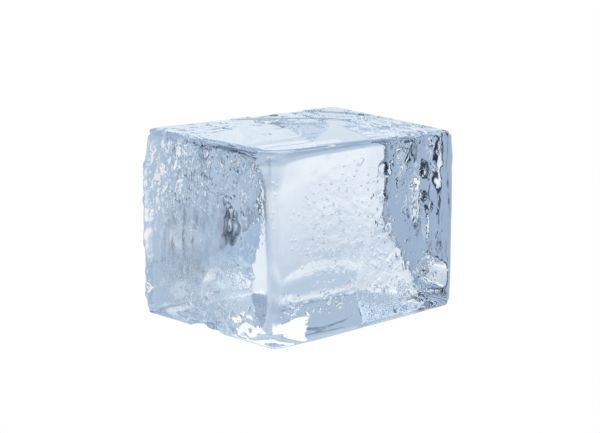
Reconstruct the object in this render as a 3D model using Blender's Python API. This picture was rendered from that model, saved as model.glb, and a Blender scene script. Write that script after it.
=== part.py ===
"""A clear block of ice, half melted: one solid, standing on its flat underside.

Metres, +Z up. X runs along the short side, Y along the long side. The origin is
the middle of the underside's bounding box.
"""
import bpy
import bmesh
from mathutils import Vector, noise

# Driving dimensions of the block as it came out of its mould.
SHORT_SIDE = 0.112
LONG_SIDE = 0.149
HEIGHT = 0.110
EDGE_RADIUS = 0.006          # melting has rounded every edge by this much
EDGE_SEGMENTS = 3

# How far each corner has moved from the true box as the block melted unevenly.
# A key is the corner's side along X, Y and Z, with 0 for low and 1 for high.
CORNER_SHIFTS = {
    (0, 0, 0): Vector((-0.0024, 0.0007, 0.0)),
    (0, 0, 1): Vector((-0.0007, -0.0006, 0.0015)),
    (0, 1, 0): Vector((0.0, 0.0, 0.0)),
    (0, 1, 1): Vector((0.0032, 0.0035, 0.0019)),
    (1, 0, 0): Vector((-0.0006, 0.0002, 0.0)),
    (1, 0, 1): Vector((-0.0002, -0.0004, -0.0007)),
    (1, 1, 0): Vector((0.0012, -0.0024, 0.0)),
    (1, 1, 1): Vector((-0.0006, -0.0011, -0.0032)),
}

CELL = 0.0095                # spacing of the cuts that let the faces wave

# Melt waves on the sides and the top. The underside stays flat.
WAVE_LENGTH = 0.030
WAVE_HEIGHT = 0.0007
WAVE_OFFSET = Vector((3.1, 7.4, 1.9))
WAVE_FADE = 0.008            # the waves grow from nothing to full over this height

# A bite melted out of the bottom edge of the short side that faces -Y.
BITE_CENTRE = Vector((-0.004, -0.0775, -0.0015))
BITE_RADII = Vector((0.0145, 0.0095, 0.0085))
BITE_SUBDIVISIONS = 3
BITE_ROUGHNESS = 0.08        # how far the bite's wall strays, as a share of its radii
BITE_ROUGHNESS_SCALE = 1.6

ICE_COLOUR = (0.72, 0.82, 0.92, 1.0)
ICE_ROUGHNESS = 0.08
ICE_IOR = 1.31


def clear_scene():
    for obj in list(bpy.data.objects):
        bpy.data.objects.remove(obj, do_unlink=True)
    for mesh in list(bpy.data.meshes):
        bpy.data.meshes.remove(mesh)


def make_collection(name):
    collection = bpy.data.collections.new(name)
    bpy.context.scene.collection.children.link(collection)
    return collection


def ice_material():
    material = bpy.data.materials.new("clear_ice")
    material.use_nodes = True
    shader = material.node_tree.nodes["Principled BSDF"]
    shader.inputs["Base Color"].default_value = ICE_COLOUR
    shader.inputs["Roughness"].default_value = ICE_ROUGHNESS
    shader.inputs["Metallic"].default_value = 0.0
    shader.inputs["IOR"].default_value = ICE_IOR
    shader.inputs["Transmission Weight"].default_value = 1.0
    material.diffuse_color = ICE_COLOUR
    return material


def bevelled_box(bm):
    """A box of the block's size on z = 0, with every edge rounded."""
    bmesh.ops.create_cube(bm, size=1.0)
    bmesh.ops.translate(bm, verts=bm.verts, vec=(0.0, 0.0, 0.5))
    bmesh.ops.scale(bm, verts=bm.verts, vec=(SHORT_SIDE, LONG_SIDE, HEIGHT))
    bmesh.ops.bevel(
        bm,
        geom=list(bm.edges),
        offset=EDGE_RADIUS,
        offset_type="OFFSET",
        segments=EDGE_SEGMENTS,
        profile=0.5,
        affect="EDGES",
    )


def cut_into_cells(bm):
    """Loop cuts across the box, evenly spaced between the rounded edges."""
    spans = (
        (-SHORT_SIDE / 2, SHORT_SIDE / 2),
        (-LONG_SIDE / 2, LONG_SIDE / 2),
        (0.0, HEIGHT),
    )
    for axis, (low, high) in enumerate(spans):
        inner_low = low + EDGE_RADIUS
        inner_high = high - EDGE_RADIUS
        cells = round((inner_high - inner_low) / CELL)
        normal = Vector((0.0, 0.0, 0.0))
        normal[axis] = 1.0
        for step in range(1, cells):
            point = Vector((0.0, 0.0, 0.0))
            point[axis] = inner_low + (inner_high - inner_low) * step / cells
            geometry = list(bm.verts) + list(bm.edges) + list(bm.faces)
            bmesh.ops.bisect_plane(bm, geom=geometry, plane_co=point, plane_no=normal, dist=1e-6)


def corner_shift(point):
    """The uneven melt at a point, blended from the shifts of the eight corners."""
    across = (
        point.x / SHORT_SIDE + 0.5,
        point.y / LONG_SIDE + 0.5,
        point.z / HEIGHT,
    )
    shift = Vector((0.0, 0.0, 0.0))
    for corner, corner_vector in CORNER_SHIFTS.items():
        weight = 1.0
        for side, share in zip(corner, across):
            weight *= share if side else 1.0 - share
        shift += corner_vector * weight
    return shift


def melt(bm):
    """Lean the box by its corners' shifts, and let melt waves into its faces."""
    bm.normal_update()
    moves = []
    for vert in bm.verts:
        wave = noise.noise(vert.co / WAVE_LENGTH + WAVE_OFFSET) * WAVE_HEIGHT
        fade = min(vert.co.z / WAVE_FADE, 1.0)
        moves.append(corner_shift(vert.co) + vert.normal * wave * fade)
    for vert, move in zip(bm.verts, moves):
        vert.co += move


def centre_on_underside(bm):
    """Put the origin under the middle of the block's bounding box."""
    xs = [vert.co.x for vert in bm.verts]
    ys = [vert.co.y for vert in bm.verts]
    zs = [vert.co.z for vert in bm.verts]
    middle = Vector(((min(xs) + max(xs)) / 2, (min(ys) + max(ys)) / 2, min(zs)))
    bmesh.ops.translate(bm, verts=bm.verts, vec=-middle)


def block_object(collection):
    bm = bmesh.new()
    bevelled_box(bm)
    cut_into_cells(bm)
    melt(bm)
    centre_on_underside(bm)
    bmesh.ops.recalc_face_normals(bm, faces=bm.faces)
    mesh = bpy.data.meshes.new("ice_block")
    bm.to_mesh(mesh)
    bm.free()
    mesh.materials.append(ice_material())
    mesh.shade_smooth()
    block = bpy.data.objects.new("ice_block", mesh)
    collection.objects.link(block)
    return block


def bite_cutter(collection):
    """A lumpy egg that the bite is cut with."""
    bm = bmesh.new()
    bmesh.ops.create_icosphere(bm, subdivisions=BITE_SUBDIVISIONS, radius=1.0)
    for vert in bm.verts:
        vert.co *= 1.0 + noise.noise(vert.co * BITE_ROUGHNESS_SCALE) * BITE_ROUGHNESS
    bmesh.ops.scale(bm, verts=bm.verts, vec=BITE_RADII)
    bmesh.ops.translate(bm, verts=bm.verts, vec=BITE_CENTRE)
    mesh = bpy.data.meshes.new("bite_cutter")
    bm.to_mesh(mesh)
    bm.free()
    cutter = bpy.data.objects.new("bite_cutter", mesh)
    cutter.hide_render = True
    cutter.display_type = "WIRE"
    collection.objects.link(cutter)
    return cutter


def cut_bite(block, cutter):
    bite = block.modifiers.new("bite", "BOOLEAN")
    bite.operation = "DIFFERENCE"
    bite.object = cutter
    bite.solver = "EXACT"


def main():
    clear_scene()
    block = block_object(make_collection("ice_block"))
    cutter = bite_cutter(make_collection("cutters"))
    cut_bite(block, cutter)


main()
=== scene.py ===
# %% [markdown]
# # A block of clear ice
# This lesson builds one block of melting ice, about as large as a loaf tin. The real thing
# is a single piece: water froze slowly in a box, and its skin has begun to melt. Nothing is
# painted on it. All that the eye enjoys comes from the shape of the skin and from how light
# bends on its way through. So the lesson shapes the skin in small honest steps, gives it the
# optics of ice, and then lights the studio that the ice bends into its faces.
#
# First the fixed frame is loaded. The new block has to keep to its box and stand in its place.

# %% Load the fixed frame
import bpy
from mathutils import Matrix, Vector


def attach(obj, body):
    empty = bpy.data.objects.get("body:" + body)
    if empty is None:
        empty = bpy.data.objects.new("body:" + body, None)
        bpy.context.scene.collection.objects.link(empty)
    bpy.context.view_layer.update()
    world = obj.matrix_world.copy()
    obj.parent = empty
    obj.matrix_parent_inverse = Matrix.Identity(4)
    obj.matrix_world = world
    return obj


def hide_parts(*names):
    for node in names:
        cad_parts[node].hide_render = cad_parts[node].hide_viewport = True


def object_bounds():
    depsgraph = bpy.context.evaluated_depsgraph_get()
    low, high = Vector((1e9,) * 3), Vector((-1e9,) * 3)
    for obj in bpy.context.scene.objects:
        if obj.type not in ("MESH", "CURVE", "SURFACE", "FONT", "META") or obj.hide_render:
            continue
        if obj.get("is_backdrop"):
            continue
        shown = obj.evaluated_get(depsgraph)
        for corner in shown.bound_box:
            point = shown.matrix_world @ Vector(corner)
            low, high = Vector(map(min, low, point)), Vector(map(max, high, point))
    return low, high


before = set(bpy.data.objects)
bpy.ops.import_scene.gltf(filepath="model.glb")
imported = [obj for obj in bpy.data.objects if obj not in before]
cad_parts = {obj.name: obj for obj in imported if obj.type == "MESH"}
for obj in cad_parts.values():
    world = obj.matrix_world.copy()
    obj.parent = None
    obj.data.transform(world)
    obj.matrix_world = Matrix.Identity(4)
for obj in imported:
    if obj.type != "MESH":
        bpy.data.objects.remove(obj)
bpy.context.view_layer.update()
MM = 0.001

# %% [markdown]
# ## Building with nodes
# Geometry Nodes and materials are both trees of nodes. A node can be placed by hand in an
# editor, but a tree that a script builds can be read, repeated and corrected. These helpers
# add one node and feed its inputs, each from another node or with a plain number.

# %% Add a node and feed it
import math

import bpy
import numpy as np
from mathutils import Vector


def feed(tree, socket, value):
    """Link an input to another node's output, or set it to a plain value."""
    if isinstance(value, bpy.types.NodeSocket):
        tree.links.new(value, socket)
    elif value is not None:
        socket.default_value = value


def add_node(tree, kind, inputs=None, **settings):
    """Add a node with these settings, and feed its inputs by their name or place."""
    node = tree.nodes.new(kind)
    for name, value in settings.items():
        setattr(node, name, value)
    for name, value in (inputs or {}).items():
        feed(tree, node.inputs[name], value)
    return node


def maths(tree, operation, *values):
    """Do sums on sockets or numbers, and give back the result's socket."""
    return add_node(tree, "ShaderNodeMath", dict(enumerate(values)), operation=operation).outputs[0]


def vector_maths(tree, operation, first, second=None, scale=None):
    """Do sums on vectors, and give back the result's socket."""
    inputs = {0: first, 1: second} if scale is None else {0: first, "Scale": scale}
    return add_node(tree, "ShaderNodeVectorMath", inputs, operation=operation).outputs["Vector"]


# %% [markdown]
# A Geometry Nodes tree is run through a modifier on an object. The block needs its mesh as
# plain points between steps, because some melt marks are single events that are easier to
# press in with numpy. So each tree is run once, its result is kept as a mesh, and the
# modifier goes. Every tree ends in Realize Instances and Set Material, so that the result is
# real faces that wear their finish.

# %% Start, end and run a geometry tree
ice = bpy.data.materials.new("melting_ice")
ice.use_nodes = True


def start_tree(name, inputs):
    """Make a tree with named inputs. Gives back the tree and the sockets of its inputs."""
    tree = bpy.data.node_groups.new(name, "GeometryNodeTree")
    tree.interface.new_socket("Geometry", in_out="OUTPUT", socket_type="NodeSocketGeometry")
    tree.interface.new_socket("Geometry", in_out="INPUT", socket_type="NodeSocketGeometry")
    for label, kind, value in inputs:
        socket = tree.interface.new_socket(label, in_out="INPUT", socket_type="NodeSocket" + kind)
        socket.default_value = value
    return tree, tree.nodes.new("NodeGroupInput").outputs


def end_tree(tree, geometry, material):
    """Close a tree with real faces that wear the material."""
    real = add_node(tree, "GeometryNodeRealizeInstances", {"Geometry": geometry})
    inputs = {"Geometry": real.outputs["Geometry"], "Material": material}
    dressed = add_node(tree, "GeometryNodeSetMaterial", inputs)
    add_node(tree, "NodeGroupOutput", {0: dressed.outputs["Geometry"]})


def run_tree(name, tree, mesh, values):
    """Run a tree on a mesh with these input values, and keep the plain mesh it makes."""
    holder = bpy.data.objects.new(name + "_holder", mesh)
    bpy.context.scene.collection.objects.link(holder)
    modifier = holder.modifiers.new(name, "NODES")
    modifier.node_group = tree
    for item in tree.interface.items_tree:
        if item.in_out == "INPUT" and item.name in values:
            modifier[item.identifier] = values[item.name]
    graph = bpy.context.evaluated_depsgraph_get()
    made = bpy.data.meshes.new_from_object(holder.evaluated_get(graph))
    made.name = name
    bpy.data.objects.remove(holder)
    # Set Material leaves an empty slot in front of its own, so the slots are closed up.
    worn = [material for material in made.materials if material]
    made.materials.clear()
    for material in worn:
        made.materials.append(material)
    made.polygons.foreach_set("material_index", np.zeros(len(made.polygons), np.int32))
    return made


# %% [markdown]
# ## The blank
# Before it melted, the block was a plain box with crisp edges. A cube with bevels would give
# the shape but not the small faces that all later steps bend. This tree starts from a cube
# of 1 mm cells and pulls its points onto a box with slightly rounded edges: it finds each
# point's nearest place on a smaller inner box, and steps out from there by the edge radius.

# %% The tree of the blank
SHORT_SIDE = 112 * MM
LONG_SIDE = 149 * MM
HEIGHT = 110 * MM
CELL = 1.0 * MM
EDGE_RADIUS = 1.5 * MM
BLANK_INPUTS = [("Size", "Vector", (0.1, 0.1, 0.1)), ("Cell", "Float", 0.002), ("Radius", "Float", 0.001)]


def blank_tree():
    """A box of small cells with rounded edges."""
    tree, given = start_tree("rounded_blank", BLANK_INPUTS)
    per_metre = maths(tree, "DIVIDE", 1.0, given["Cell"])
    cells = vector_maths(tree, "SCALE", given["Size"], scale=per_metre)
    counts = add_node(tree, "ShaderNodeSeparateXYZ", {0: cells}).outputs
    cube_inputs = {"Vertices " + axis: counts[axis] for axis in "XYZ"}
    cube = add_node(tree, "GeometryNodeMeshCube", {"Size": given["Size"], **cube_inputs})
    radii = add_node(tree, "ShaderNodeCombineXYZ", {axis: given["Radius"] for axis in "XYZ"})
    position = add_node(tree, "GeometryNodeInputPosition").outputs[0]
    half = vector_maths(tree, "SCALE", given["Size"], scale=0.5)
    inner_high = vector_maths(tree, "SUBTRACT", half, radii.outputs[0])
    inner_low = vector_maths(tree, "SCALE", inner_high, scale=-1.0)
    below_high = vector_maths(tree, "MINIMUM", position, inner_high)
    inner = vector_maths(tree, "MAXIMUM", below_high, inner_low)
    outward = vector_maths(tree, "NORMALIZE", vector_maths(tree, "SUBTRACT", position, inner))
    step = vector_maths(tree, "SCALE", outward, scale=given["Radius"])
    rounded = vector_maths(tree, "ADD", inner, step)
    inputs = {"Geometry": cube.outputs["Mesh"], "Position": rounded}
    shaped = add_node(tree, "GeometryNodeSetPosition", inputs)
    end_tree(tree, shaped.outputs[0], ice)
    return tree


blank_values = {"Size": (SHORT_SIDE, LONG_SIDE, HEIGHT), "Cell": CELL, "Radius": EDGE_RADIUS}
blank = run_tree("blank", blank_tree(), bpy.data.meshes.new("empty"), blank_values)
print("blank:", len(blank.vertices), "points,", len(blank.polygons), "faces")

# %% [markdown]
# ## Melted edges
# Edges melt first, because warm air reaches them from two sides. A bevel gives one radius
# for a whole edge, but no real edge melts evenly. So each edge gets stations along its
# length. At a station the melt reaches so many mm into one side and so many into the other,
# and between stations the reach changes evenly. A long reach on one side with a short one on
# the other makes that side lean over before it turns the corner.

# %% Points out of a mesh and back
def read_points(mesh):
    """All points of a mesh as rows of X, Y and Z."""
    flat = np.zeros(len(mesh.vertices) * 3, np.float32)
    mesh.vertices.foreach_get("co", flat)
    return flat.reshape(-1, 3).astype(float)


def write_points(mesh, rows):
    """Put moved points back into their mesh."""
    mesh.vertices.foreach_set("co", rows.astype(np.float32).ravel())
    mesh.update()


points = read_points(blank)
points[:, 2] += HEIGHT / 2
MIDDLE = np.array([0.0, 0.0, HEIGHT / 2])
HALF_SIZE = np.array([SHORT_SIDE, LONG_SIDE, HEIGHT]) / 2
print("the blank stands on the ground, its middle at", MIDDLE / MM, "mm")

# %% Round one edge
CORNER_POWER = 8


def melt_edge(first, second, stations):
    """Round the edge between two sides, each an axis and a sign. Stations are in mm."""
    (axis_a, sign_a), (axis_b, sign_b) = first, second
    along = points[:, 3 - axis_a - axis_b] / MM
    places, reaches_a, reaches_b = zip(*stations)
    reach_a = MM * np.interp(along, places, reaches_a)
    reach_b = MM * np.interp(along, places, reaches_b)
    inner_a = HALF_SIZE[axis_a] - reach_a
    inner_b = HALF_SIZE[axis_b] - reach_b
    past_a = ((points[:, axis_a] - MIDDLE[axis_a]) * sign_a - inner_a) / reach_a
    past_b = ((points[:, axis_b] - MIDDLE[axis_b]) * sign_b - inner_b) / reach_b
    near = (past_a > 0) & (past_b > 0)
    past = np.stack([past_a, past_b], axis=1)[near]
    square_norm = np.linalg.norm(past, ord=CORNER_POWER, axis=1)
    pulled = past * (square_norm / np.linalg.norm(past, axis=1))[:, None]
    points[near, axis_a] = MIDDLE[axis_a] + sign_a * (inner_a[near] + pulled[:, 0] * reach_a[near])
    points[near, axis_b] = MIDDLE[axis_b] + sign_b * (inner_b[near] + pulled[:, 1] * reach_b[near])


# %% Round all twelve edges
X_HIGH, X_LOW = (0, 1), (0, -1)
Y_HIGH, Y_LOW = (1, 1), (1, -1)
Z_HIGH, Z_LOW = (2, 1), (2, -1)
# Each station: its place along the edge, the reach into the first side, and into the second.
MELTED_EDGES = (
    (X_HIGH, Y_LOW, ((0, 30, 26), (10, 12, 10), (20, 6.5, 6), (50, 5.5, 5), (90, 7, 6), (110, 18, 15))),
    (X_LOW, Y_LOW, ((0, 7, 7), (20, 4, 4), (84, 5, 5), (110, 15, 15))),
    (X_LOW, Y_HIGH, ((0, 5, 5), (52, 8, 8), (110, 11, 11))),
    (X_HIGH, Y_HIGH, ((0, 6, 6), (30, 4, 4), (95, 4, 4), (110, 7, 7))),
    (Y_LOW, Z_HIGH, ((-56, 7, 6), (-20, 7, 5), (30, 8, 5), (56, 12, 7))),
    (X_HIGH, Z_HIGH, ((-75, 14, 8), (-50, 11, 4.5), (0, 9, 3), (50, 6, 3), (75, 6, 4))),
    (Y_HIGH, Z_HIGH, ((-56, 7, 6), (56, 6, 4))),
    (X_LOW, Z_HIGH, ((-75, 6, 5), (75, 7, 5))),
    (Y_LOW, Z_LOW, ((-56, 5, 6), (-10, 6, 8), (56, 9, 11))),
    (X_HIGH, Z_LOW, ((-75, 9, 9), (-40, 5, 6), (75, 4, 5))),
    (Y_HIGH, Z_LOW, ((-56, 3, 3), (56, 5, 5))),
    (X_LOW, Z_LOW, ((-75, 3, 5), (-20, 3, 6), (20, 3, 8), (75, 3, 5))),
)
for first, second, stations in MELTED_EDGES:
    melt_edge(first, second, stations)
print("melted", len(MELTED_EDGES), "edges")

# %% [markdown]
# ## The planed corner
# The low far corner has melted away along a slanting plane, as ice does where it stood in
# water. Looking through the block, that plane is what breaks the far side into panes. A
# Boolean would cut it, but would also spoil the even cells. So every point that stands
# proud of the plane is pushed back onto it, with a short soft bend where the two meet.

# %% Plane the low far corner
CREASE = np.array([-14, 75, 21])
CREASE_FACING = np.array([-0.25, 0.907, -0.339])
CREASE_BEND = 0.3


def plane_off(corner, facing, bend):
    """Push the points in front of a plane back onto it. The corner and the bend are in mm."""
    facing = facing / np.linalg.norm(facing)
    proud = (points - MM * corner) @ facing
    cut = bend * MM * np.logaddexp(0.0, proud / (bend * MM))
    points[:] = points - facing * cut[:, None]


from_crease = (points / MM - CREASE) @ CREASE_FACING
plane_off(CREASE, CREASE_FACING, CREASE_BEND)
print("planed:", int((from_crease > 0).sum()), "points")

# %% [markdown]
# ## The lean
# No side of a melting block stays upright. The eight corners of this one have sunk and
# shifted by different amounts. A lattice would bend the box in the same way; the sums are
# short enough to write out. Each point takes a share of each corner's shift, the larger the
# nearer it is to that corner.

# %% Lean the box by its corners
# Each corner: its side along X, Y and Z (0 low, 1 high), and its shift in mm.
CORNER_SHIFTS = (
    ((0, 0, 0), (-2.4, 0.7, 0.0)),
    ((0, 0, 1), (-0.7, -0.6, 1.5)),
    ((0, 1, 0), (5.5, 0.0, 0.0)),
    ((0, 1, 1), (7.2, 3.0, 1.9)),
    ((1, 0, 0), (-0.6, 0.2, 0.0)),
    ((1, 0, 1), (-0.2, -0.4, -0.7)),
    ((1, 1, 0), (1.2, -2.4, 0.0)),
    ((1, 1, 1), (-0.6, -1.1, -3.2)),
)
share = np.clip((points - MIDDLE) / HALF_SIZE / 2 + 0.5, 0.0, 1.0)
shift_of_all = np.zeros_like(points)
for corner, shift in CORNER_SHIFTS:
    weight = np.prod(np.where(np.array(corner) == 1, share, 1.0 - share), axis=1)
    shift_of_all += weight[:, None] * MM * np.array(shift)
points += shift_of_all
write_points(blank, points)
print("leaning block, mm:", [round(float(side) / MM, 1) for side in np.ptp(points, axis=0)])

# %% [markdown]
# ## Where the melt works
# Melting doesn't treat all of the block alike: a draught cuts scallops high on one side,
# running water draws runnels down another, and some places stay calm. Painting by hand would
# say so with a brush. Here the brush is a function, an egg-shaped spot with soft edges on a
# named side, so the paint can be read and changed. Each kind of mark gets one number per
# point, which a tree or the material reads later.

# %% A soft spot on a named side
SIDES = {
    "east": (1, 0, 0),
    "west": (-1, 0, 0),
    "south": (0, -1, 0),
    "north": (0, 1, 0),
    "top": (0, 0, 1),
    "under": (0, 0, -1),
}
SPOT_EDGE = 0.6
ON_SIDE = (0.2, 0.6)
normals = np.zeros(points.size, np.float32)
blank.vertex_normals.foreach_get("vector", normals)
normals = normals.reshape(-1, 3).astype(float)


def smooth_step(value, low, high):
    """0 below low, 1 above high, and a soft rise between them."""
    part = np.clip((value - low) / (high - low), 0.0, 1.0)
    return part * part * (3.0 - 2.0 * part)


def side_mask(side, low, high):
    """1 on one side's flat, fading to 0 over its rounded edges."""
    return smooth_step(normals @ np.array(SIDES[side], float), low, high)


def spots(*shapes):
    """The strongest of several spots: each has a side, a centre, half sizes and a strength."""
    strongest = np.zeros(len(points))
    for side, centre, half_sizes, strength in shapes:
        reach = np.linalg.norm((points / MM - np.array(centre)) / np.array(half_sizes), axis=1)
        mask = strength * (1.0 - smooth_step(reach, 1.0 - SPOT_EDGE, 1.0))
        if side:
            mask = mask * side_mask(side, *ON_SIDE)
        strongest = np.maximum(strongest, mask)
    return strongest


LEAST_SEEN = 0.1


def paint(mesh, name, values):
    """Store one number per point on the mesh, for a tree or the material to read."""
    layer = mesh.attributes.new(name, "FLOAT", "POINT")
    layer.data.foreach_set("value", values.astype(np.float32))
    print("painted", name, "on", int((values > LEAST_SEEN).sum()), "points")


# %% [markdown]
# The underside stands on the table, so no mark reaches the lowest few mm. Scallops, the
# small shallow cups that warm air cuts, are strongest near the top of the two sides and
# along the upright edges.

# %% Paint the scallops
FOOT_LOW = 1 * MM
FOOT_HIGH = 9 * MM
TOP_RIM = (0.1, 0.5)
standing = smooth_step(points[:, 2], FOOT_LOW, FOOT_HIGH)
scallops_on_sides = spots(
    ("west", (-56, -38, 80), (20, 44, 30), 1.0),
    ("west", (-56, 34, 84), (20, 30, 16), 0.6),
    ("west", (-56, 52, 22), (20, 22, 12), 0.6),
    ("south", (-25, -75, 92), (42, 20, 26), 0.75),
    ("south", (-46, -75, 60), (14, 20, 62), 0.5),
    ("south", (20, -75, 78), (26, 20, 34), 0.75),
    ("south", (24, -75, 45), (26, 20, 22), 0.6),
    ("south", (0, -75, 6), (40, 20, 9), 0.6),
    ("east", (56, 44, 88), (20, 36, 30), 1.0),
    ("east", (56, 25, 62), (20, 22, 22), 0.5),
    ("north", (-30, 75, 80), (30, 20, 34), 0.4),
)
scallops_on_edges = spots(
    ("", (-56, 75, 84), (10, 10, 30), 0.9),
    ("", (-56, -75, 60), (9, 9, 60), 1.0),
)
below_top = 1.0 - side_mask("top", *TOP_RIM)
scallops_on_edges = scallops_on_edges * below_top
paint(blank, "scallops", np.maximum(scallops_on_sides, scallops_on_edges) * standing)

# %% [markdown]
# Ripples and slow swells cover most of the block. They leave the top alone, which a film of
# melt water has smoothed, and two calm areas that stay as flat as panes. Runnels, the
# upright furrows of running water, keep to a few places.

# %% Paint the ripples, swells and runnels
CALM_STRENGTH = 0.8
TOP_FLATNESS = 0.85
STILL_FLATNESS = 0.9
RIPPLE_RIM = (0.1, 0.6)
SWELL_RIM = (0.3, 0.8)
calm = spots(
    ("east", (56, -36, 62), (30, 42, 52), 1.0),
    ("west", (-56, 36, 62), (30, 42, 56), 1.0),
)
still = spots(("west", (-56, 36, 40), (22, 24, 30), 1.0))
rippled = (1.0 - np.maximum(CALM_STRENGTH * calm, still)) * standing
paint(blank, "ripples", rippled * (1.0 - side_mask("top", *RIPPLE_RIM)))
swollen = standing * (1.0 - TOP_FLATNESS * side_mask("top", *SWELL_RIM))
paint(blank, "swells", swollen * (1.0 - STILL_FLATNESS * still))
runnels = spots(
    ("north", (27, 75, 75), (50, 20, 55), 0.4),
    ("north", (-35, 75, 92), (34, 20, 32), 0.4),
    ("east", (56, 44, 85), (20, 36, 40), 0.65),
    ("south", (-10, -75, 60), (60, 20, 50), 0.16),
    ("west", (-56, -34, 60), (20, 44, 50), 0.3),
)
paint(blank, "runnels", runnels * standing * (1.0 - still))

# %% [markdown]
# Some of the skin is rough at a scale too small for points. Frost is a dull bloom along the
# near edge, the crease and the low far corner. Pits and beads are the fine texture that the
# material's bump makes. Milk marks where tiny bubbles cloud the ice just under the skin.

# %% Paint the frost
LEAST_FROST = 0.02
CREASE_FROST = 0.5
CREASE_WIDTH = 1.6
CREASE_RIM = (0.3, 0.8)
CREASE_FADE = 20 * MM
frosted_crease = np.exp(-(from_crease / CREASE_WIDTH) ** 2) * side_mask("north", *CREASE_RIM)
frosted_crease = frosted_crease * smooth_step(-points[:, 0], -CREASE_FADE, 0)
frosted_spots = spots(
    ("east", (56, -46, 50), (30, 40, 62), 0.15),
    ("east", (56, 25, 30), (30, 40, 30), 0.12),
    ("south", (-10, -75, 36), (60, 20, 56), 0.26),
    ("south", (0, -75, 6), (80, 20, 26), 0.12),
    ("", (56, -75, 50), (10, 10, 90), 0.5),
    ("", (56, -66, 102), (12, 20, 16), 0.5),
    ("", (-54, 75, 82), (18, 12, 44), 0.65),
    ("", (-36, 68, 2), (38, 26, 13), 0.5),
)
paint(blank, "frost", LEAST_FROST + CREASE_FROST * frosted_crease + frosted_spots)

# %% Paint the pits, the beads and the milk
pits = spots(
    ("east", (56, -22, 62), (30, 46, 46), 1.0),
    ("east", (56, 30, 40), (30, 46, 46), 0.7),
    ("south", (-20, -75, 80), (44, 20, 40), 0.8),
    ("south", (40, -75, 84), (24, 20, 30), 0.6),
    ("south", (22, -75, 38), (26, 20, 12), 0.8),
)
paint(blank, "pits", pits)
beads = spots(
    ("east", (56, 46, 86), (20, 44, 46), 0.2),
    ("east", (56, 8, 64), (20, 14, 30), 0.6),
    ("east", (56, -38, 25), (20, 40, 13), 1.0),
    ("east", (56, 24, 26), (20, 40, 18), 1.0),
    ("south", (10, -75, 18), (50, 20, 12), 0.6),
    ("south", (-40, -75, 86), (30, 20, 32), 0.7),
    ("south", (5, -75, 90), (50, 20, 24), 0.6),
)
paint(blank, "beads", beads)
milk = spots(
    ("south", (-26, -75, 40), (30, 20, 50), 0.22),
    ("south", (-42, -75, 86), (26, 20, 28), 0.15),
    ("south", (28, -75, 15), (34, 20, 10), 0.2),
    ("east", (56, -36, 45), (24, 40, 60), 0.12),
)
paint(blank, "milk", milk)

# %% [markdown]
# ## Melt relief
# Swells, ripples, scallops and runnels all follow a rule: a pattern of a known size, so deep
# in, where its paint allows. That is work for Geometry Nodes. Noise gives the swells and
# ripples, round Voronoi cells give the scallops, and a noise drawn out along Z gives the
# runnels. The tree adds the four heights and moves each point along its own normal.

# %% Patterns for the relief
SCALLOP_SOFTNESS = 0.35
RUNNEL_DETAIL = 1.0


def painted(tree, name):
    """One painted number per point."""
    kind = "GeometryNodeInputNamedAttribute"
    return add_node(tree, kind, {"Name": name}, data_type="FLOAT").outputs["Attribute"]


def seeded_noise(tree, place, length, detail, seed):
    """Smooth noise whose lumps are about one length wide."""
    scale = maths(tree, "DIVIDE", 1.0, length)
    inputs = {"Vector": place, "W": seed, "Scale": scale, "Detail": detail}
    return add_node(tree, "ShaderNodeTexNoise", inputs, noise_dimensions="4D").outputs["Fac"]


def runnel_noise(tree, place, width, stretch):
    """Noise drawn out upwards into furrows."""
    drawn = add_node(tree, "ShaderNodeCombineXYZ", {"X": 1.0, "Y": 1.0, "Z": stretch}).outputs[0]
    stretched = vector_maths(tree, "MULTIPLY", place, drawn)
    inputs = {"Vector": stretched, "Scale": maths(tree, "DIVIDE", 1.0, width), "Detail": RUNNEL_DETAIL}
    return add_node(tree, "ShaderNodeTexNoise", inputs, noise_dimensions="3D").outputs["Fac"]


def scallop_cells(tree, place, size):
    """Soft round cells, low in their middles."""
    scale = maths(tree, "DIVIDE", 1.0, size)
    inputs = {"Vector": place, "Scale": scale, "Smoothness": SCALLOP_SOFTNESS}
    settings = {"voronoi_dimensions": "3D", "feature": "SMOOTH_F1"}
    return add_node(tree, "ShaderNodeTexVoronoi", inputs, **settings).outputs["Distance"]


def relief_height(tree, pattern, height, paint_name):
    """A pattern from 0 to 1 as a height about the skin, scaled by paint."""
    centred = maths(tree, "SUBTRACT", pattern, 0.5)
    return maths(tree, "MULTIPLY", maths(tree, "MULTIPLY", centred, height), painted(tree, paint_name))


# %% The tree of the relief
SWELL_DETAIL = 1.0
RIPPLE_DETAIL = 2.0
RELIEF = {
    "Swell Length": 34 * MM,
    "Swell Height": 0.8 * MM,
    "Ripple Length": 9 * MM,
    "Ripple Height": 0.22 * MM,
    "Scallop Size": 6.4 * MM,
    "Scallop Depth": 0.9 * MM,
    "Runnel Width": 9.0 * MM,
    "Runnel Depth": 2.2 * MM,
    "Runnel Stretch": 0.28,
    "Seed": 3.0,
}


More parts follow.
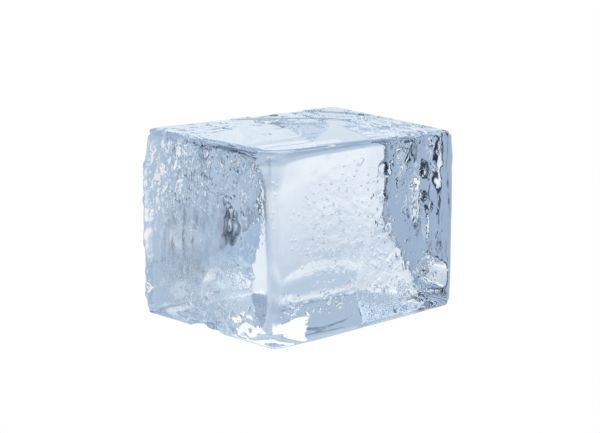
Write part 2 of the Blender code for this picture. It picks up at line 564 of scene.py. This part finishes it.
def relief_tree():
    """Move each point along its normal by four heights of relief."""
    tree, given = start_tree("melt_relief", [(label, "Float", 0.0) for label in RELIEF])
    place = add_node(tree, "GeometryNodeInputPosition").outputs[0]
    swell = seeded_noise(tree, place, given["Swell Length"], SWELL_DETAIL, given["Seed"])
    swell = relief_height(tree, swell, given["Swell Height"], "swells")
    ripple = seeded_noise(tree, place, given["Ripple Length"], RIPPLE_DETAIL, given["Seed"])
    ripple = relief_height(tree, ripple, given["Ripple Height"], "ripples")
    scallop = scallop_cells(tree, place, given["Scallop Size"])
    scallop = relief_height(tree, scallop, given["Scallop Depth"], "scallops")
    runnel = runnel_noise(tree, place, given["Runnel Width"], given["Runnel Stretch"])
    runnel = relief_height(tree, runnel, given["Runnel Depth"], "runnels")
    slow = maths(tree, "ADD", swell, ripple)
    height = maths(tree, "ADD", slow, maths(tree, "ADD", scallop, runnel))
    normal = add_node(tree, "GeometryNodeInputNormal").outputs[0]
    offset = vector_maths(tree, "SCALE", normal, scale=height)
    moved = add_node(tree, "GeometryNodeSetPosition", {"Geometry": given["Geometry"], "Offset": offset})
    end_tree(tree, moved.outputs[0], ice)
    return tree


block_mesh = run_tree("melted_block", relief_tree(), blank, RELIEF)
skin = read_points(block_mesh)
print("relief moved points by up to", round(float(np.abs(skin - points).max() / MM), 2), "mm")

# %% [markdown]
# ## Facets on the far sides
# The two far sides have melted in small flat facets. Seen through the block, a facet that
# tilts by only a few degrees sends the eye to another part of the room, so it shows as a
# dark or a bright pane. That is where the strong marks of clear ice come from, and a dark
# patch painted on the skin would never move as they do. Each facet is a flat cut into the
# side, deepest where it faces and fading out at its rim, inside an outline that is an
# ellipse or a rounded box.

# %% Press in one facet
NEAR_SIDE = 12.0
FACET_FLAT = (0.5, 0.9)


def facet(side, centre, half_sizes, tilt, turn, rim, roundness=2):
    """Cut a slanting facet. Sizes in mm; tilt (along the side, upward) and turn in degrees."""
    facing = np.array(SIDES[side], float)
    along = np.array([-facing[1], facing[0], 0.0])
    away = skin / MM - np.array(centre)
    across, up = away @ along, away[:, 2]
    cosine, sine = math.cos(math.radians(turn)), math.sin(math.radians(turn))
    out_a = np.abs((across * cosine + up * sine) / half_sizes[0]) ** roundness
    out_b = np.abs((up * cosine - across * sine) / half_sizes[1]) ** roundness
    reach = (out_a + out_b) ** (1.0 / roundness)
    inside = (np.abs(away @ facing) < NEAR_SIDE) & (reach < 1.0)
    strength = np.where(inside, 1.0 - reach ** rim, 0.0) * side_mask(side, *FACET_FLAT)
    slope_a, slope_b = math.tan(math.radians(tilt[0])), math.tan(math.radians(tilt[1]))
    deepest = abs(slope_a) * half_sizes[0] + abs(slope_b) * half_sizes[1]
    depth = deepest + slope_a * across + slope_b * up
    skin[:] = skin - facing * (strength * depth * MM)[:, None]


# %% Facets on the long far side
SOFT_RIM = 6.0
BOX_RIM = 10.0
BOX_ROUNDNESS = 4
# Each facet: centre, half sizes, tilts along and up, and the turn of its outline.
NORTH_FACETS = (
    ((-9.4, 75, 88), (6.5, 10.0), (6, 0), 15),
    ((-4.0, 75, 97), (7.5, 4.0), (6, 0), 0),
    ((-38.5, 75, 76), (8.5, 5.6), (6, 0), -20),
    ((-46.0, 75, 67), (4.4, 8.0), (6, 0), 0),
    ((-43.0, 75, 56), (4.0, 3.4), (6, 1), 0),
    ((10.9, 75, 78.6), (7.4, 6.6), (6, 0), 0),
    ((29.5, 75, 75.4), (7.8, 6.8), (6, 0), 25),
    ((13.0, 75, 64), (3.0, 4.0), (6, 0), 0),
    ((24.5, 75, 58), (4.6, 3.2), (6, 0), -25),
    ((32.0, 75, 92), (7.4, 12.0), (5.2, 0), 10),
    ((-9.0, 75, 50), (4.6, 2.6), (6, 0), 0),
    ((-20.0, 75, 80), (3.6, 12.0), (-6, 0), 0),
    ((-14.0, 75, 58), (3.6, 9.0), (-5, 0), 0),
    ((3.0, 75, 60), (4.0, 18.0), (-7, 0), 4),
    ((17.0, 75, 46), (4.0, 12.0), (-5, 0), -8),
    ((22.0, 75, 90), (3.6, 8.0), (-7, 0), 8),
    ((18.0, 75, 5.4), (27.0, 2.4), (6, 0), -4),
)
for centre, half_sizes, tilt, turn in NORTH_FACETS:
    facet("north", centre, half_sizes, tilt, turn, SOFT_RIM)
# One large pane low down, with square corners.
facet("north", (31, 75, 18.5), (18, 8), (14, 0), 6, BOX_RIM, BOX_ROUNDNESS)
print("facets on the north side:", len(NORTH_FACETS) + 1)

# %% Facets on the short far side
CRISP_RIM = 20.0
FADING_RIM = 3.5
# Each facet as above, and the roundness of its outline: 2 is an ellipse, 8 nearly a box.
WEST_FACETS = (
    ((-56, 35, 41), (11.5, 16.5), (-2.0, 0.0), 0, 8),
    ((-56, 58, 42), (11.0, 15.0), (-0.8, 0.0), 0, 6),
    ((-56, -59, 96), (3.0, 4.5), (-6.0, 0.0), 0, 2),
    ((-56, -61, 58), (3.0, 4.0), (-6.0, 0.0), 0, 2),
    ((-56, -20, 92), (5.0, 5.0), (-5.5, 0.0), 20, 2),
    ((-56, 60, 82), (4.0, 4.0), (-5.5, 0.0), 0, 2),
)
for centre, half_sizes, tilt, turn, roundness in WEST_FACETS:
    facet("west", centre, half_sizes, tilt, turn, CRISP_RIM, roundness)
# One long hollow above the foot, which fades out slowly.
facet("west", (-56, 30, 10), (34, 11.5), (0, 7), 0, FADING_RIM)
print("facets on the west side:", len(WEST_FACETS) + 1)

# %% [markdown]
# ## Streaks in the top
# Melt water runs off the top in thin channels. A curve with a bevel would need a Boolean to
# cut them. It is enough to lower every point by its distance from a line of plan points.

# %% Press the streaks into the top
STREAK_RIM = (0.3, 0.8)
# Each streak: its line of (x, y), its half width and its depth, in mm.
TOP_STREAKS = (
    (((-47, 5), (-49, 24), (-45, 42), (-26, 58), (-9, 66)), 4.0, 1.3),
    (((-52, -50), (-50, -24), (-40, -4), (-28, 17), (-12, 40)), 2.6, 1.0),
    (((-43, -57), (-42, -39), (-20, -38)), 2.4, 0.7),
    (((-22, 28), (-12, 34), (-2, 44)), 3.4, 0.9),
    (((-22, -19), (-20, -15)), 1.8, 0.7),
    (((-12, -3), (-10, 1)), 1.8, 0.7),
    (((7, 6), (9, 10)), 1.6, 0.7),
    (((4, -37), (6, -31)), 1.6, 0.7),
)


def distance_to_line(plan, line):
    """How far each plan point is from a line of points, in mm."""
    nearest = np.full(len(plan), np.inf)
    for start, end in zip(line[:-1], line[1:]):
        start, run = np.array(start, float), np.array(end, float) - np.array(start, float)
        along = np.clip((plan - start) @ run / (run @ run), 0.0, 1.0)
        nearest = np.minimum(nearest, np.linalg.norm(plan - start - along[:, None] * run, axis=1))
    return nearest


def bowl(reach):
    """A smooth bowl: 1 in the middle, 0 from a reach of 1 on."""
    return np.where(reach < 1.0, (1.0 - reach ** 2) ** 2, 0.0)


on_top = side_mask("top", *STREAK_RIM)
for line, half_width, depth in TOP_STREAKS:
    reach = distance_to_line(skin[:, :2] / MM, line) / half_width
    skin[:, 2] -= bowl(reach) * depth * MM * on_top
print("streaks in the top:", len(TOP_STREAKS))

# %% [markdown]
# ## The foot and the bite
# The block stands on its flat underside. Along the near left foot the melt has bitten a
# hollow, which leaves a lip beside it. A Boolean would take the same bite, with a sharp rim.
# Here the points that fall inside a lumpy egg are pushed out onto its shell.

# %% Flatten the underside and take the bite
LEVEL = 0.9895
BITE_CENTRE = np.array([-5, -79, -1.5])
BITE_RADII = np.array([15.5, 26, 8.0])
BITE_LUMPS = 0.1
LUMP_LENGTH = 9.0 * MM
# Each wave of the lumps: its direction and its shift.
LUMP_WAVES = (((3.1, 4.2, 2.2), 0.4), ((-4.4, 2.0, 3.9), 2.1), ((1.7, -3.6, 5.1), 4.0))

underside = normals @ np.array(SIDES["under"], float) > LEVEL
skin[:, 2] = np.where(underside, 0.0, skin[:, 2])
away = (skin / MM - BITE_CENTRE) / BITE_RADII
lumps = sum(np.sin(skin @ np.array(wave) / LUMP_LENGTH + shift) for wave, shift in LUMP_WAVES)
reach = np.linalg.norm(away, axis=1) / (1.0 + BITE_LUMPS * lumps)
bitten = reach < 1.0
skin[bitten] = MM * (BITE_CENTRE + away[bitten] / reach[bitten, None] * BITE_RADII)
print("bitten points:", int(bitten.sum()))

# %% [markdown]
# ## The damp underside and the pool
# Ice that melts stands in its own water. Dry ice under a shallow view would mirror the
# block's inside; wet ice lets the light of the table through. Under most of the block there
# is only a damp film with gaps, which lets a little light in. One pool, with a wavy outline,
# touches the ice fully. A separate sheet of water would need a gap or a shared face, which
# glass doesn't forgive. So the wetness is paint again, and the material reads it.

# %% Paint the wet places
DAMPNESS = 0.1
SHORE_WAVE = 1.0
SHORE_RIPPLE = 0.4
SHORE_SHIFT = 1.0
POOL = (
    (-9, -34), (-8, -28), (-15, -19), (-13, -6), (2, -14),
    (8, -21), (25, -29), (36, -40), (37, -50), (29, -57),
)


def inside_outline(x, y, outline):
    """True where (x, y) lies inside a closed outline of corner points."""
    inside = np.zeros(len(x), bool)
    for (x0, y0), (x1, y1) in zip(outline, outline[1:] + outline[:1]):
        crosses = (y0 > y) != (y1 > y)
        inside ^= crosses & (x < x0 + (y - y0) * (x1 - x0) / (y1 - y0))
    return inside


plan_x, plan_y = skin[:, 0] / MM, skin[:, 1] / MM
wavy_x = plan_x + SHORE_WAVE * np.sin(plan_y / 2.9) + SHORE_RIPPLE * np.sin(plan_y / 1.1)
wavy_y = plan_y + SHORE_WAVE * np.sin(plan_x / 3.3 + SHORE_SHIFT)
in_pool = inside_outline(wavy_x, wavy_y, POOL)
paint(block_mesh, "wet", np.where(in_pool, 1.0, DAMPNESS) * underside)

# %% [markdown]
# ## Lumps along three edges
# The lip beside the bite, one upright edge and the foot of the short far side have melted
# into rounded lumps, which catch small bright glints. They have no order, only a usual size,
# so a seeded random generator places them in rows and varies each one. The same seed gives
# the same lumps every time.

# %% Raise the lumps
LUMP_SEED = 12
# Each row: its axis (0 is X), how many lumps, where it starts and their spacing, then the
# ranges of the other two coordinates, of the radius and of the rise. All lengths in mm.
LUMP_ROWS = (
    (0, 44, -12, 1.5, (-75, -73), (1, 14), (3.0, 5.0), (-1.5, 1.2)),
    (2, 18, 12, 5.2, (-57, -53), (-75, -71), (3.4, 5.6), (0.4, 1.3)),
    (1, 40, -6, 1.8, (-56, -54), (1, 7), (2.2, 3.6), (-1.1, 0.9)),
)


def raise_lump(centre, radius, rise):
    """Raise one rounded lump along the skin's normals, or sink it. All in mm."""
    reach = np.linalg.norm(skin / MM - np.array(centre), axis=1) / radius
    skin[:] = skin + normals * (bowl(reach) * rise * MM)[:, None]


dice = np.random.default_rng(LUMP_SEED)
for axis, count, start, spacing, one_range, other_range, radii, rises in LUMP_ROWS:
    for step in range(count):
        centre = [dice.uniform(*one_range), dice.uniform(*other_range)]
        centre.insert(axis, start + spacing * step)
        raise_lump(centre, dice.uniform(*radii), dice.uniform(*rises))
print("lumps:", sum(row[1] for row in LUMP_ROWS))

# %% [markdown]
# ## Standing in the frame
# The melted block is set down so that its lowest point is on the ground and its middle is
# over the origin, which is how the frame's block stands. Its object stays at the origin,
# unturned, and its place is in its mesh.

# %% Stand the block in the frame
low, high = skin.min(0), skin.max(0)
skin -= np.array([(low[0] + high[0]) / 2, (low[1] + high[1]) / 2, low[2]])
write_points(block_mesh, skin)
block_mesh.shade_smooth()
block = bpy.data.objects.new("melted_block", block_mesh)
bpy.context.scene.collection.objects.link(block)
print("block, mm:", [round(float(side) / MM, 1) for side in high - low])

# %% [markdown]
# ## Clear ice
# Ice bends light by 1.31, less than glass. Its clearness is plain transmission, with no
# colour on the surface. Two paints roughen it: frost raises the roughness, and milk lets a
# little less light in. The wet paint lowers the index towards 1, because ice that touches
# water hardly mirrors from inside.

# %% The optics of the skin
ICE_INDEX = 1.31
FULL_FROST = 0.6
nodes = ice.node_tree
shader = nodes.nodes["Principled BSDF"]
shader.inputs["Base Color"].default_value = (1.0, 1.0, 1.0, 1.0)
shader.inputs["IOR"].default_value = ICE_INDEX
shader.inputs["Roughness"].default_value = LEAST_FROST
shader.inputs["Transmission Weight"].default_value = 1.0


def paint_of(name):
    """Read one painted number in the material."""
    return add_node(nodes, "ShaderNodeAttribute", attribute_name=name).outputs["Fac"]


feed(nodes, shader.inputs["Roughness"], maths(nodes, "MULTIPLY", paint_of("frost"), FULL_FROST))
feed(nodes, shader.inputs["Transmission Weight"], maths(nodes, "SUBTRACT", 1.0, paint_of("milk")))
index = maths(nodes, "MULTIPLY_ADD", paint_of("wet"), 1.0 - ICE_INDEX, ICE_INDEX)
feed(nodes, shader.inputs["IOR"], index)
print("ice bends light by", ICE_INDEX)

# %% [markdown]
# ## The fine skin
# Under a lens the skin isn't smooth. Pits a few mm wide lie in loose groups, with faint
# wrinkles between them, and high on the sides the melt stands in beads. They are too fine
# for points, and bump bends the light in the same way. The pits are round Voronoi cells that
# a noise switches on here and there. The beads use cells that a second noise has swirled, so
# that no two are alike.

# %% Pits and wrinkles
PIT_SIZE = 3.8 * MM
PIT_WALL = (0.08, 0.36)
PIT_GROUP = 7.0 * MM
PIT_GROUP_EDGE = (0.45, 0.6)
WRINKLE_LENGTH = 4.6 * MM
WRINKLE_HEIGHT = 0.6
place = add_node(nodes, "ShaderNodeTexCoord").outputs["Object"]


def pattern(kind, length, **settings):
    """A texture whose cells are one length wide."""
    return add_node(nodes, kind, {"Vector": place, "Scale": 1.0 / length}, **settings).outputs


def soft_range(tree, value, low, high):
    """0 below low, 1 above high, and a soft rise between them."""
    inputs = {"Value": value, "From Min": low, "From Max": high}
    return add_node(tree, "ShaderNodeMapRange", inputs, interpolation_type="SMOOTHSTEP").outputs[0]


pit = soft_range(nodes, pattern("ShaderNodeTexVoronoi", PIT_SIZE)["Distance"], *PIT_WALL)
group = soft_range(nodes, pattern("ShaderNodeTexNoise", PIT_GROUP)["Fac"], *PIT_GROUP_EDGE)
pit_height = maths(nodes, "MULTIPLY", maths(nodes, "SUBTRACT", pit, 1.0), group)
wrinkle = maths(nodes, "MULTIPLY", pattern("ShaderNodeTexNoise", WRINKLE_LENGTH)["Fac"], WRINKLE_HEIGHT)
pitted = maths(nodes, "MULTIPLY", maths(nodes, "ADD", pit_height, wrinkle), paint_of("pits"))
print("pits:", PIT_SIZE / MM, "mm wide")

# %% Beads
BEAD_SIZE = 5.0 * MM
BEAD_WALL = (0.05, 0.6)
BEAD_GROUP = 6.0 * MM
BEAD_GROUP_EDGE = (0.46, 0.56)
BEAD_HEIGHT = 1.6
BEAD_SOFTNESS = 0.3
SWIRL_LENGTH = 8.0 * MM
SWIRL_REACH = 7.0 * MM
swirl = pattern("ShaderNodeTexNoise", SWIRL_LENGTH)["Color"]
swirled = vector_maths(nodes, "ADD", place, vector_maths(nodes, "SCALE", swirl, scale=SWIRL_REACH))
bead_inputs = {"Vector": swirled, "Scale": 1.0 / BEAD_SIZE, "Smoothness": BEAD_SOFTNESS}
bead_cells = add_node(nodes, "ShaderNodeTexVoronoi", bead_inputs, feature="SMOOTH_F1")
bead = maths(nodes, "SUBTRACT", 1.0, soft_range(nodes, bead_cells.outputs["Distance"], *BEAD_WALL))
bead_group = soft_range(nodes, pattern("ShaderNodeTexNoise", BEAD_GROUP)["Fac"], *BEAD_GROUP_EDGE)
beaded = maths(nodes, "MULTIPLY", maths(nodes, "MULTIPLY", bead, bead_group), paint_of("beads"))
print("beads:", BEAD_SIZE / MM, "mm wide")

# %% Bend the light by both
BUMP_HEIGHT = 0.7 * MM
skin_height = maths(nodes, "MULTIPLY_ADD", beaded, BEAD_HEIGHT, pitted)
bump = add_node(nodes, "ShaderNodeBump", {"Height": skin_height, "Distance": BUMP_HEIGHT})
feed(nodes, shader.inputs["Normal"], bump.outputs[0])
print("bump stands", BUMP_HEIGHT / MM, "mm at most for a height of 1")

# %% [markdown]
# ## The blue of depth
# A thin sliver of ice has no colour, and a thick block is faintly blue, because ice takes a
# little red out of the light over each cm. Colouring the surface would tint a sliver just as
# strongly. Absorption in the volume does it as ice does.

# %% Take out the red with depth
ICE_COLOUR = (0.06, 0.455, 0.85, 1.0)
ABSORPTION = 1.0
absorb = add_node(nodes, "ShaderNodeVolumeAbsorption", {"Color": ICE_COLOUR, "Density": ABSORPTION})
feed(nodes, nodes.nodes["Material Output"].inputs["Volume"], absorb.outputs[0])
print("over 10 cm the ice passes", [round(math.exp(-0.1 * (1 - c)), 3) for c in ICE_COLOUR[:3]])

# %% Take the place of the frame's block
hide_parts("ice_block")
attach(block, "root")
print("pieces:", block.name, "wearing", [material.name for material in block_mesh.materials])

# %% [markdown]
# ## Floor and light sheet
# Clear things are shot on a pale sweep of paper that is lit evenly, with a sheet of light
# under the ice. The paper is a plane that only the camera sees; it glows by itself, so it
# shows no edge. The sheet glows a little brighter, and only the ice sees it. Lamps would put
# their own spots into every facet.

# %% Lay the pale floor
FLOOR_SIDE = 40.0
FLOOR_DROP = 0.3 * MM
PAPER_GLOW = 1.0


def lay_sheet(name, sides, drop, glow):
    """A glowing level sheet a little below the ground. Sides in metres."""
    half_x, half_y = sides[0] / 2, sides[1] / 2
    signs = ((-1, -1), (1, -1), (1, 1), (-1, 1))
    corners = [(sign_x * half_x, sign_y * half_y, -drop) for sign_x, sign_y in signs]
    mesh = bpy.data.meshes.new(name)
    mesh.from_pydata(corners, [], [(0, 1, 2, 3)])
    paper = bpy.data.materials.new(name)
    paper.use_nodes = True
    paper.node_tree.nodes.clear()
    glowing = add_node(paper.node_tree, "ShaderNodeEmission", {"Strength": glow}).outputs[0]
    add_node(paper.node_tree, "ShaderNodeOutputMaterial", {"Surface": glowing})
    mesh.materials.append(paper)
    sheet = bpy.data.objects.new(name, mesh)
    bpy.context.scene.collection.objects.link(sheet)
    sheet.visible_diffuse = False
    sheet.visible_shadow = False
    sheet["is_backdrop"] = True
    return sheet


floor = lay_sheet("floor", (FLOOR_SIDE, FLOOR_SIDE), FLOOR_DROP, PAPER_GLOW)
floor.visible_glossy = False
floor.visible_transmission = False
print("floor:", FLOOR_SIDE, "m wide")

# %% Slide the light sheet under the ice
SHEET_INSET = 3 * MM
SHEET_DROP = 0.2 * MM
SHEET_GLOW = 1.12
sheet_sides = (SHORT_SIDE - 2 * SHEET_INSET, LONG_SIDE - 2 * SHEET_INSET)
light_sheet = lay_sheet("light_sheet", sheet_sides, SHEET_DROP, SHEET_GLOW)
light_sheet.visible_camera = False
print("light sheet, mm:", [round(side / MM) for side in sheet_sides])

# %% [markdown]
# ## The studio
# Clear ice has no look of its own: it shows the room, bent. A maker of still pictures hangs
# pale cloths and dark cards round it until its edges read. This world does the same. Its
# light depends only on the direction, as height above the horizon and turn from straight
# ahead, and soft bands lie over each other: a pale blue room, brighter overhead and below,
# dark cards on both sides that draw the facets' outlines, and a bright opening straight
# ahead that fills the near pane.

# %% Directions in the room
CAMERA_TURN = math.radians(46.06)
world = bpy.data.worlds.new("studio")
bpy.context.scene.world = world
world.use_nodes = True
room = world.node_tree
room.nodes.clear()
direction = add_node(room, "ShaderNodeTexCoord").outputs["Generated"]
turn_inputs = {"Vector": direction, "Angle": -CAMERA_TURN}
turned = add_node(room, "ShaderNodeVectorRotate", turn_inputs, rotation_type="Z_AXIS").outputs[0]
parts = add_node(room, "ShaderNodeSeparateXYZ", {0: turned}).outputs
around = maths(room, "ARCTAN2", parts["X"], parts["Y"])
above = maths(room, "ARCSINE", parts["Z"])
sideways = maths(room, "ABSOLUTE", around)
print("the room is turned by", round(math.degrees(CAMERA_TURN), 2), "degrees")

# %% Soft bands of light
def rise(angle, start, end):
    """0 before one angle and 1 after the other, in degrees."""
    return soft_range(room, angle, math.radians(start), math.radians(end))


def band(angle, start, start_soft, end, end_soft):
    """1 between two angles, with soft ends, in degrees."""
    begun = rise(angle, start - start_soft, start + start_soft)
    ended = rise(angle, end - end_soft, end + end_soft)
    return maths(room, "MULTIPLY", begun, maths(room, "SUBTRACT", 1.0, ended))


def lay_over(under, colour, mask):
    """Lay a colour over what is there, where the mask is 1."""
    mix = add_node(room, "ShaderNodeMix", data_type="RGBA")
    feed(room, mix.inputs[0], mask)
    feed(room, mix.inputs[6], under)
    feed(room, mix.inputs[7], (*colour, 1.0))
    return mix.outputs[2]


# %% Light by height
PAPER_BELOW = (0.90, 0.94, 0.98, 1.0)
# Each band: its colour, and the angles between which it rises, in degrees.
ROOM_BY_HEIGHT = (
    ((0.36, 0.46, 0.60), -44, -36),
    ((0.53, 0.63, 0.745), -36, -18),
    ((0.52, 0.62, 0.73), -8, 18),
    ((0.16, 0.24, 0.36), 22, 29),
    ((0.42, 0.52, 0.64), 33, 42),
)
light = PAPER_BELOW
for colour, start, end in ROOM_BY_HEIGHT:
    light = lay_over(light, colour, rise(above, start, end))
print("bands by height:", len(ROOM_BY_HEIGHT))

# %% Cloths, cards, walls and the opening
LEFT_CLOTH = (0.38, 0.48, 0.61)
RIGHT_CLOTH_LOW = (0.45, 0.55, 0.67)
RIGHT_CLOTH_HIGH = (0.70, 0.77, 0.84)
DARK_CARD = (0.004, 0.014, 0.040)
AHEAD_HIGH = (0.44, 0.55, 0.68)
AHEAD_WALL = (0.54, 0.64, 0.76)
OPENING = (0.95, 0.965, 0.985)
REAR_WALL = (0.80, 0.87, 0.93)
# Bands by turn, in degrees: from an angle and its softness to an angle and its softness.
to_left = band(around, -104, 8, -70, 10)
to_right_side = band(around, 102, 8, 166, 3)
both_sides = band(sideways, 110, 10, 166, 3)
left_rear = band(around, -166, 3, -97, 5)
ahead = band(sideways, -10, 1, 64, 9)
behind = band(sideways, 166, 3, 190, 1)
# Each sheet: its colour, its band by turn, and its band by height.
SHEETS = (
    (LEFT_CLOTH, to_left, (-30, 5, 20, 5)),
    (RIGHT_CLOTH_LOW, to_right_side, (3, 4, 20, 5)),
    (RIGHT_CLOTH_HIGH, to_right_side, (20, 5, 60, 6)),
    (DARK_CARD, both_sides, (-32, 8, 2, 3)),
    (DARK_CARD, left_rear, (-32, 8, 26, 6)),
    (AHEAD_HIGH, ahead, (8, 5, 22, 4)),
    (AHEAD_WALL, ahead, (-26, 5, 9, 5)),
    (OPENING, ahead, (-13, 3.4, -4, 3)),
    (REAR_WALL, behind, (-40, 5, 60, 5)),
)
for colour, turn_band, heights in SHEETS:
    light = lay_over(light, colour, maths(room, "MULTIPLY", turn_band, band(above, *heights)))
print("cloths, cards and walls:", len(SHEETS))

# %% Light overhead
OVERHEAD = (1.1, 1.1, 1.1)
OVERHEAD_FROM = (50, 60)
light = lay_over(light, OVERHEAD, rise(above, *OVERHEAD_FROM))
print("overhead light from", OVERHEAD_FROM[0], "degrees up")

# %% [markdown]
# Straight to the camera the room is plain white paper, so that the block stands free. The
# ice sees the cloths and cards. A plain colour transform keeps white paper white.

# %% Hang the room
WHITE = (1.0, 1.0, 1.0)
seen_directly = add_node(room, "ShaderNodeLightPath").outputs["Is Camera Ray"]
shown = lay_over(light, WHITE, seen_directly)
shine = add_node(room, "ShaderNodeBackground", {"Color": shown}).outputs[0]
add_node(room, "ShaderNodeOutputWorld", {"Surface": shine})
bpy.context.scene.view_settings.view_transform = "Standard"
print("room nodes:", len(room.nodes))

# %% [markdown]
# ## The camera
# A long lens from a little above the block's middle keeps its upright edges nearly parallel.
# The camera is placed by the direction it looks in and how far it stands back, so that its
# turn, tilt and distance can each be changed alone.

# %% Aim the camera
CAMERA_TILT = math.radians(11.93)
CAMERA_DISTANCE = 0.839
AIM_RIGHT = -1.1 * MM
AIM_UP = 1.6 * MM
LENS = 85.0
FAR_CLIP = 100.0
level = math.cos(CAMERA_TILT)
forward = Vector((-math.sin(CAMERA_TURN) * level, math.cos(CAMERA_TURN) * level, -math.sin(CAMERA_TILT)))
to_right = Vector((math.cos(CAMERA_TURN), math.sin(CAMERA_TURN), 0.0))
upward = to_right.cross(forward)
lens = bpy.data.cameras.new("camera")
lens.lens = LENS
lens.clip_end = FAR_CLIP
camera = bpy.data.objects.new("camera", lens)
bpy.context.scene.collection.objects.link(camera)
bpy.context.scene.camera = camera
target = Vector((0.0, 0.0, HEIGHT / 2)) + to_right * AIM_RIGHT + upward * AIM_UP
camera.location = target - forward * CAMERA_DISTANCE
camera.rotation_mode = "QUATERNION"
camera.rotation_quaternion = forward.to_track_quat("-Z", "Y")
print("camera at", [round(value, 3) for value in camera.location])

# %% [markdown]
# Light that enters clear ice turns back many times before it leaves. With too few bounces
# those paths end early and leave false black patches, so the limit is raised.

# %% Let light turn often
BOUNCES = 24
cycles = bpy.context.scene.cycles
cycles.max_bounces = BOUNCES
cycles.transmission_bounces = BOUNCES
cycles.glossy_bounces = BOUNCES
print("bounces:", BOUNCES)

# %% Note the sizes
low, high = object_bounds()
print("visual model, mm:", [round(side / MM, 1) for side in high - low])
